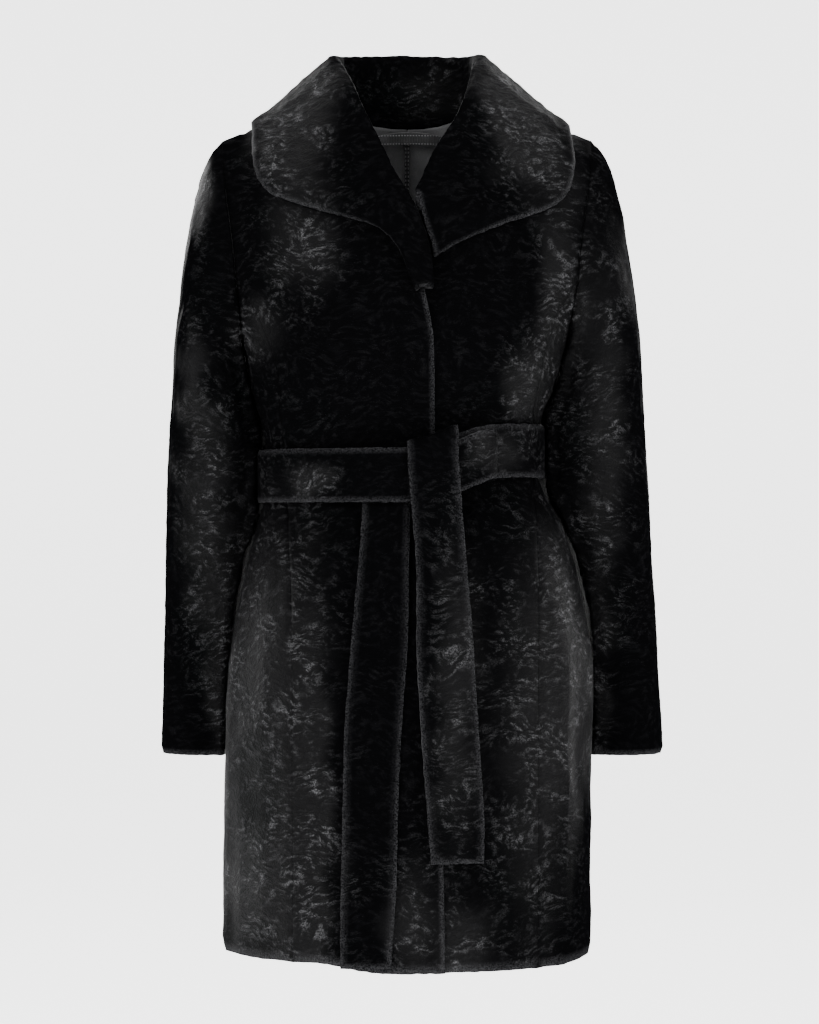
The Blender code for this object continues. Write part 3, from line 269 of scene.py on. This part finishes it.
def refined(mesh, levels):
    form = BVHTree.FromBMesh(mesh)
    for parts, layer in ((mesh.verts, "crease_vert"), (mesh.edges, "crease_edge")):
        crease = parts.layers.float.new(layer)
        for part in parts:
            part[crease] = float(part.is_boundary)  # neighbours keep the same seam line
    data = bpy.data.meshes.new("draft")
    mesh.to_mesh(data)
    mesh.free()
    draft = bpy.data.objects.new("draft", data)
    bpy.context.scene.collection.objects.link(draft)
    smooth = draft.modifiers.new("smooth", "SUBSURF")
    smooth.levels = smooth.render_levels = levels
    smooth.boundary_smooth = "PRESERVE_CORNERS"
    mesh = bmesh.new()
    mesh.from_object(draft, bpy.context.evaluated_depsgraph_get())
    bpy.data.objects.remove(draft)
    bpy.data.meshes.remove(data)
    for vert in mesh.verts:  # smoothing draws the cloth in, so it goes back out to the solid
        vert.co = vert.co.lerp(form.find_nearest(vert.co)[0], 0.85)
    mesh.normal_update()
    return mesh


def edgeDistances(mesh):
    border = [vert for vert in mesh.verts if vert.is_boundary]
    near = KDTree(len(border))
    for i, vert in enumerate(border):
        near.insert(vert.co, i)
    near.balance()
    return {vert: near.find(vert.co)[2] for vert in mesh.verts}, border


def seamTree(ownName, others):
    points = []
    faces = []
    for name in others:
        if name != ownName:
            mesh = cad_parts[name].data
            start = len(points)
            points += [vert.co.copy() for vert in mesh.vertices]
            faces += [[start + i for i in face.vertices] for face in mesh.polygons]
    return BVHTree.FromPolygons(points, faces)


def wave(point, size, seed=0.0):
    return noise.noise(point / size + Vector((seed, 0.37 * seed, 1.7 * seed)))


# places where the pile stands up and catches the light, with a painted highlight in the colour there too: x
# and z of the middle, half width, half height, how strong, and front (-1) or back (1)
napAndHighlightPatches = (
    (-0.118, -0.010, 0.034, 0.070, 1.0, -1),   # leaf, wearer's right
    (-0.085, 0.045, 0.028, 0.030, 0.5, -1),
    (0.125, -0.015, 0.040, 0.060, 0.85, -1),   # leaf, wearer's left
    (0.092, 0.045, 0.026, 0.040, 0.9, -1),
    (0.020, 0.055, 0.040, 0.030, 0.5, -1),     # stand
    (-0.095, -0.125, 0.035, 0.045, 0.8, -1),   # bust
    (-0.150, -0.205, 0.025, 0.030, 0.7, -1),
    (0.155, -0.170, 0.022, 0.090, 0.9, -1),
    (0.122, -0.260, 0.022, 0.040, 0.8, -1),
    (-0.205, -0.060, 0.014, 0.045, 0.8, -1),   # sleeves
    (-0.212, -0.250, 0.012, 0.060, 0.6, -1),
    (-0.205, -0.390, 0.026, 0.110, 0.75, -1),
    (-0.190, -0.550, 0.012, 0.080, 1.0, -1),
    (0.200, -0.310, 0.024, 0.180, 0.7, -1),
    (0.192, -0.550, 0.012, 0.080, 0.8, -1),
    (-0.090, -0.350, 0.018, 0.016, 0.9, -1),   # belt
    (0.070, -0.322, 0.014, 0.014, 1.0, -1),
    (0.098, -0.326, 0.014, 0.018, 0.6, -1),
    (-0.092, -0.660, 0.022, 0.190, 1.0, -1),   # skirt
    (-0.140, -0.560, 0.040, 0.190, 0.7, -1),
    (-0.130, -0.760, 0.055, 0.060, 0.8, -1),
    (0.150, -0.530, 0.022, 0.120, 1.0, -1),
    (0.120, -0.620, 0.035, 0.220, 0.6, -1),
    (0.005, -0.780, 0.022, 0.060, 0.8, -1),
    (0.055, -0.800, 0.022, 0.040, 0.8, -1),
    (0.045, -0.560, 0.024, 0.150, 0.8, -1),    # front tail
    (-0.080, 0.030, 0.050, 0.040, 0.7, 1),     # back of the collar
    (0.060, 0.000, 0.050, 0.035, 0.8, 1),
    (-0.090, -0.150, 0.040, 0.080, 0.7, 1),    # back
    (0.100, -0.120, 0.035, 0.100, 0.8, 1),
    (0.050, -0.250, 0.035, 0.050, 0.6, 1),
    (-0.060, -0.560, 0.045, 0.130, 0.8, 1),
    (0.110, -0.620, 0.035, 0.170, 0.9, 1),
    (-0.140, -0.720, 0.030, 0.090, 0.8, 1),
    (-0.210, -0.200, 0.020, 0.120, 0.7, 1),
    (0.215, -0.400, 0.022, 0.130, 0.8, 1),
)


# creases and soft ridges: height, half width, face, then points x, z
creases = (
    (-0.0016, 0.007, -1, (-0.129, -0.214), (-0.117, -0.229), (-0.103, -0.246), (-0.092, -0.264),
     (-0.086, -0.292)),
    (0.0014, 0.006, -1, (-0.112, -0.299), (-0.103, -0.314)),
    (0.0016, 0.008, -1, (-0.166, -0.196), (-0.150, -0.227), (-0.146, -0.253)),
    (0.0014, 0.007, -1, (0.103, -0.238), (0.105, -0.299)),
    (-0.0014, 0.005, -1, (0.117, -0.272), (0.116, -0.302)),
    (0.0013, 0.005, -1, (0.126, -0.262), (0.125, -0.300)),
    (0.0015, 0.005, -1, (-0.121, -0.377), (-0.122, -0.402)),
    (-0.0015, 0.004, -1, (-0.114, -0.376), (-0.114, -0.400)),
    (0.0015, 0.004, -1, (-0.107, -0.376), (-0.106, -0.404)),
    (0.0015, 0.005, -1, (-0.093, -0.377), (-0.091, -0.404)),
    (-0.0020, 0.006, -1, (-0.110, -0.402), (-0.104, -0.419), (-0.095, -0.432), (-0.096, -0.467)),
    (0.0022, 0.009, -1, (-0.044, -0.379), (-0.052, -0.400), (-0.058, -0.420), (-0.064, -0.437),
     (-0.071, -0.454), (-0.078, -0.467), (-0.108, -0.485)),
    (0.0016, 0.009, -1, (0.055, -0.355), (0.065, -0.376), (0.075, -0.394), (0.085, -0.417),
     (0.106, -0.461)),
    (0.0014, 0.012, -1, (-0.060, -0.560), (-0.074, -0.650), (-0.080, -0.790)),
    (-0.0014, 0.012, -1, (0.090, -0.520), (0.094, -0.640), (0.092, -0.800)),
    (0.0015, 0.010, -1, (0.140, -0.440), (0.152, -0.560), (0.156, -0.700)),
    (0.0016, 0.008, 1, (-0.070, -0.386), (-0.066, -0.420), (-0.052, -0.470)),
    (0.0014, 0.007, 1, (0.030, -0.384), (0.034, -0.425)),
    (-0.0014, 0.006, 1, (0.082, -0.386), (0.090, -0.440)),
    (0.0016, 0.009, 1, (-0.100, -0.300), (-0.104, -0.250), (-0.120, -0.210)),
    (-0.0014, 0.008, 1, (0.060, -0.290), (0.052, -0.240)),
    (0.0014, 0.012, 1, (-0.100, -0.560), (-0.104, -0.790)),
    (0.0016, 0.012, 1, (0.075, -0.520), (0.080, -0.780)),
    (-0.0014, 0.010, 1, (0.020, -0.600), (0.016, -0.800)),
)


def creaseHeights(places, normals):
    heights = np.zeros(len(places))
    flat = places[:, (0, 2)]
    for height, half, face, *points in creases:
        away = np.full(len(places), 9.0)
        for a, b in zip(points, points[1:]):
            start = np.array(a)
            step = np.array(b) - start
            share = np.clip(((flat - start) @ step) / (step @ step), 0, 1)
            away = np.minimum(away, np.linalg.norm(flat - start - share[:, None] * step, axis=1))
        facing = np.clip(normals[:, 1] * face * 3, 0, 1)
        heights += height * np.exp(-((away / half) ** 2)) * facing
    return heights


def napAndHighlightAmounts(places, normals, least):
    amount = np.full(len(places), least)
    wander = np.array([wave(Vector(place), 0.04) for place in places]) * 0.016
    for x, z, wide, high, strong, face in napAndHighlightPatches:
        away = ((places[:, 0] - x + wander) / wide) ** 2 + ((places[:, 2] - z + wander) / high) ** 2
        amount += strong * np.exp(-away) * (normals[:, 1] * face > -0.35)
    return np.minimum(amount, 1.0)


def smoothStep(values, low, high):
    share = np.clip((values - low) / (high - low), 0, 1)
    return share * share * (3 - 2 * share)


torso = ["front_right", "front_left", "side_right", "side_left", "back_right", "back_left",
         "sleeve_right", "sleeve_left", "collar"]


def openEdges(name, mesh, border):
    near = seamTree(name, torso if name in torso else [])
    free = {vert: name not in torso or near.find_nearest(vert.co)[3] > 0.0016 for vert in border}
    openEdge = KDTree(len(border))
    for i, vert in enumerate(border):
        if free[vert]:
            openEdge.insert(vert.co, i)
    openEdge.balance()
    toOpen = [openEdge.find(vert.co)[2] if any(free.values()) else 9.0 for vert in mesh.verts]
    return free, np.array(toOpen)


def swellBeside(name, mesh, neighbours, places, height):  # a sleeve's inner side reaches the body
    body = seamTree(name, neighbours)
    level = smoothStep(places[:, 2], -0.44, -0.40) * (1 - smoothStep(places[:, 2], -0.235, -0.200))
    for i, vert in enumerate(mesh.verts):
        hit, _, _, far = body.ray_cast(vert.co + vert.normal * 0.0005, vert.normal, 0.020)
        if hit and level[i] > 0:
            height[i] += level[i] * min(max(far - 0.0012, 0.0), 0.007)


def clothForm(name, make):
    mesh = outerSheet(name, make["wall"], make["side"], make["sharpest"], make["reach"])
    long = [line for line in mesh.edges if line.calc_length() > make["longest"]]
    if long:
        bmesh.ops.subdivide_edges(mesh, edges=long, cuts=3, use_grid_fill=True)
    mesh = refined(mesh, make["levels"])
    napAndHighlightLayer = mesh.verts.layers.float.new("napAndHighlight")
    rimLayer = mesh.verts.layers.float.new("rim")
    mesh.verts.ensure_lookup_table()
    distance, border = edgeDistances(mesh)
    places = np.array([vert.co for vert in mesh.verts])
    normals = np.array([vert.normal for vert in mesh.verts])
    away = np.array([distance[vert] for vert in mesh.verts])
    free, toOpen = openEdges(name, mesh, border)
    locks = np.array([wave(vert.co, 0.0085, 3.0) + 0.6 * wave(vert.co, 0.0042, 8.0) for vert in mesh.verts])
    slow = np.array([wave(vert.co, 0.055, 5.0) for vert in mesh.verts])
    inside = smoothStep(away, 0.0, 0.008)
    height = (make["locks"] * locks * (0.35 + 0.65 * inside) + make["slow"] * slow * inside
              + creaseHeights(places, normals) * make["creases"] * inside
              - make["round"] * (1 - smoothStep(toOpen, 0.0, 0.0045))
              - make["groove"] * (1 - smoothStep(away, 0.0, 0.004)))
    # mask for the pile's sheen and for the painted highlight
    napAndHighlight = napAndHighlightAmounts(places, normals, 0.03)
    # painted light: the edge highlight fades lower down, below the rimFrom heights
    lit = 0.25 + 0.75 * smoothStep(places[:, 2], *make["rimFrom"])
    rim = (1 - smoothStep(toOpen, 0.0005, 0.006)) * lit
    if make["beside"]:
        swellBeside(name, mesh, make["beside"], places, height)
    for i, vert in enumerate(mesh.verts):
        vert[napAndHighlightLayer] = napAndHighlight[i]
        vert[rimLayer] = rim[i]
        vert.co += vert.normal * float(height[i])
    for vert in border:
        if free[vert]:  # a bumpy fur edge
            inward = sum((line.other_vert(vert).co - vert.co for line in vert.link_edges
                          if not line.is_boundary), Vector())
            if inward.length > 0:
                vert.co -= inward.normalized() * make["fringe"] * wave(vert.co, 0.006, 2.0)
    return mesh


def clothPiece(name, make):
    make = {**plainMake, **make}
    mesh = clothForm(name, make)
    data = bpy.data.meshes.new(name)
    mesh.to_mesh(data)
    mesh.free()
    for mat in make["materials"]:
        data.materials.append(mat)
    data.shade_smooth()
    piece = bpy.data.objects.new(name + "Cloth", data)
    bpy.context.scene.collection.objects.link(piece)
    wall = piece.modifiers.new("wall", "SOLIDIFY")
    wall.thickness = make["wall"] - 0.0004
    wall.offset = -1
    wall.material_offset = 1
    wall.material_offset_rim = 2
    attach(piece, "root")
    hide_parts(name)
    print(name, "dressed")


plainMake = {  # a flat strip of wool; each piece below says where it differs
    "wall": 0.005, "slot": "black_shearling", "materials": (fur, suede, cutEdge), "beside": [],
    "levels": 2, "side": "larger", "sharpest": 60, "reach": 1.1, "longest": 1.0, "rimFrom": (-2, -1),
    "locks": 0.0, "slow": 0.0, "creases": 0.0, "round": 0.0, "groove": 0.0, "fringe": 0.0,
}

panelMake = {"locks": 0.0007, "slow": 0.0014, "round": 0.0016, "groove": 0.0003, "fringe": 0.0007,
             "creases": 1.0, "held": "hung"}
panelCuts = {  # cut size of each panel: width, length, area
    "front_right": (0.245, 0.885, 0.142),
    "front_left": (0.255, 0.885, 0.160),
    "side_right": (0.290, 0.690, 0.154),
    "side_left": (0.280, 0.690, 0.147),
    "back_right": (0.205, 0.875, 0.124),
    "back_left": (0.205, 0.875, 0.124),
}
for name, (wide, long, area) in panelCuts.items():
    clothPiece(name, {**panelMake, "flat": (wide, long), "area": area})

sleeveMake = {**panelMake, "slow": 0.0012, "creases": 0.0, "beside": torso[:6] + ["belt_wrap"],
              "reach": 2.4, "sharpest": 75, "flat": (0.36, 0.64), "area": 0.163}
for name in ("sleeve_right", "sleeve_left"):
    clothPiece(name, sleeveMake)

collarMake = {"levels": 3, "sharpest": 75, "rimFrom": (-0.165, -0.120), "materials": (fur, cutEdge, cutEdge),
              "locks": 0.0008, "slow": 0.0016, "round": 0.0018, "fringe": 0.0011,
              "held": "folded", "flat": (0.78, 0.26), "area": 0.129}
clothPiece("collar", collarMake)

beltMake = {"locks": 0.0006, "slow": 0.0006, "round": 0.0014, "fringe": 0.0009, "longest": 0.024,
            "held": "folded"}
clothPiece("belt_wrap", {**beltMake, "flat": (0.85, 0.053), "area": 0.0445})
clothPiece("belt_knot", {**beltMake, "flat": (0.10, 0.051), "area": 0.0048})
tailMake = {**beltMake, "side": "front", "held": "hung", "longest": 1.0}
clothPiece("belt_tail_under", {**tailMake, "flat": (0.054, 0.48), "area": 0.0252})
clothPiece("belt_tail_front", {**tailMake, "flat": (0.055, 0.43), "area": 0.0233})

loopStitches = {  # two rows along x, on ribbed tape that darkens to one end
    "along": 0, "across": 2, "middle": 0.0055, "apart": 0.0040, "half": 0.0006, "length": 0.0030,
    "rib": 0.0017, "shadeFrom": 0.018, "shadeTo": 0.030, "shade": (0.015, 0.015, 0.016),
    "colour": (0.30, 0.30, 0.31)}
loopTape = suedeMaterial("loopTape", (0.035, 0.035, 0.036), (0.10, 0.10, 0.103), loopStitches)
loopMake = {"wall": 0.0022, "levels": 3, "side": "front", "round": 0.0002, "slot": "grey_suede",
            "materials": (loopTape, loopTape, loopTape), "held": "hung", "flat": (0.072, 0.0125),
            "area": 0.00088}
clothPiece("hanger_loop", loopMake)

seamStitches = {  # two rows down the middle of the back, with no shaded end
    "along": 2, "across": 0, "middle": 0.0, "apart": 0.0014, "half": 0.0007, "length": 0.0040,
    "rib": 0.0040, "shadeFrom": 0.5, "shadeTo": 0.6, "shade": (0.015, 0.015, 0.016),
    "colour": (0.16, 0.16, 0.165)}
seamTape = suedeMaterial("seamTape", (0.010, 0.010, 0.011), (0.030, 0.030, 0.031), seamStitches)
clothPiece("centre_back_tape", {"wall": 0.0008, "side": "front", "slot": "grey_suede",
                                "materials": (seamTape, seamTape, seamTape)})

floorLook = {"height": -1.30, "half": 9, "front": -4.0, "length": 6.5, "bendStart": 3.0, "bendLength": 2.4,
             "bendRadius": 1.53}


def addFloor():
    mat, nodes, links, shader = newMaterial("paleFloor", 0.9)
    shader.inputs["Base Color"].default_value = (0.93, 0.93, 0.93, 1)
    shader.inputs["Specular IOR Level"].default_value = 0.0
    shader.inputs["Emission Color"].default_value = (1, 1, 1, 1)
    shader.inputs["Emission Strength"].default_value = 1.8
    grid = bmesh.new()
    bmesh.ops.create_grid(grid, x_segments=1, y_segments=40, size=1)
    start, length, radius = (floorLook[word] for word in ("bendStart", "bendLength", "bendRadius"))
    for vert in grid.verts:  # a floor that curves up into a wall behind
        run = (vert.co.y + 1) * floorLook["length"] + floorLook["front"]
        bend = min(max(run - start, 0.0), length) / length * math.pi / 2
        up = max(run - start - length, 0.0)
        vert.co = (vert.co.x * floorLook["half"], min(run, start) + radius * math.sin(bend),
                   floorLook["height"] + radius * (1 - math.cos(bend)) + up)
    data = bpy.data.meshes.new("floor")
    grid.to_mesh(data)
    grid.free()
    data.materials.append(mat)
    data.shade_smooth()
    floor = bpy.data.objects.new("floor", data)
    bpy.context.scene.collection.objects.link(floor)


roomLook = {  # softboxes: place, size, watts
    "keyLeft": ((-1.6, -2.2, 1.1), 1.2, 62),
    "keyRight": ((1.9, -1.8, 0.9), 1.0, 55),
    "top": ((0.0, 0.2, 2.3), 1.6, 40),
    "backLeft": ((-1.8, 1.8, 0.8), 1.2, 40),
    "backRight": ((1.8, 1.8, 0.8), 1.2, 40),
}


def addLights():
    for name, (place, size, watts) in roomLook.items():
        data = bpy.data.lights.new(name, "AREA")
        data.size = size
        data.energy = watts
        lamp = bpy.data.objects.new(name, data)
        lamp.location = place
        lamp.rotation_euler = (Vector((0, 0, -0.38)) - Vector(place)).to_track_quat("-Z", "Y").to_euler()
        bpy.context.scene.collection.objects.link(lamp)
    world = bpy.data.worlds.new("paleRoom")
    world.use_nodes = True
    world.node_tree.nodes["Background"].inputs["Color"].default_value = (1, 1, 1, 1)
    world.node_tree.nodes["Background"].inputs["Strength"].default_value = 0.8
    bpy.context.scene.world = world


def addCamera():
    data = bpy.data.cameras.new("camera")
    data.lens = 86.2
    camera = bpy.data.objects.new("camera", data)
    camera.location = (0.0026, -2.5, -0.3845)
    camera.rotation_euler = (math.pi / 2, 0, 0)
    bpy.context.scene.collection.objects.link(camera)
    bpy.context.scene.camera = camera


addFloor()
addLights()
addCamera()
print("room and camera set")
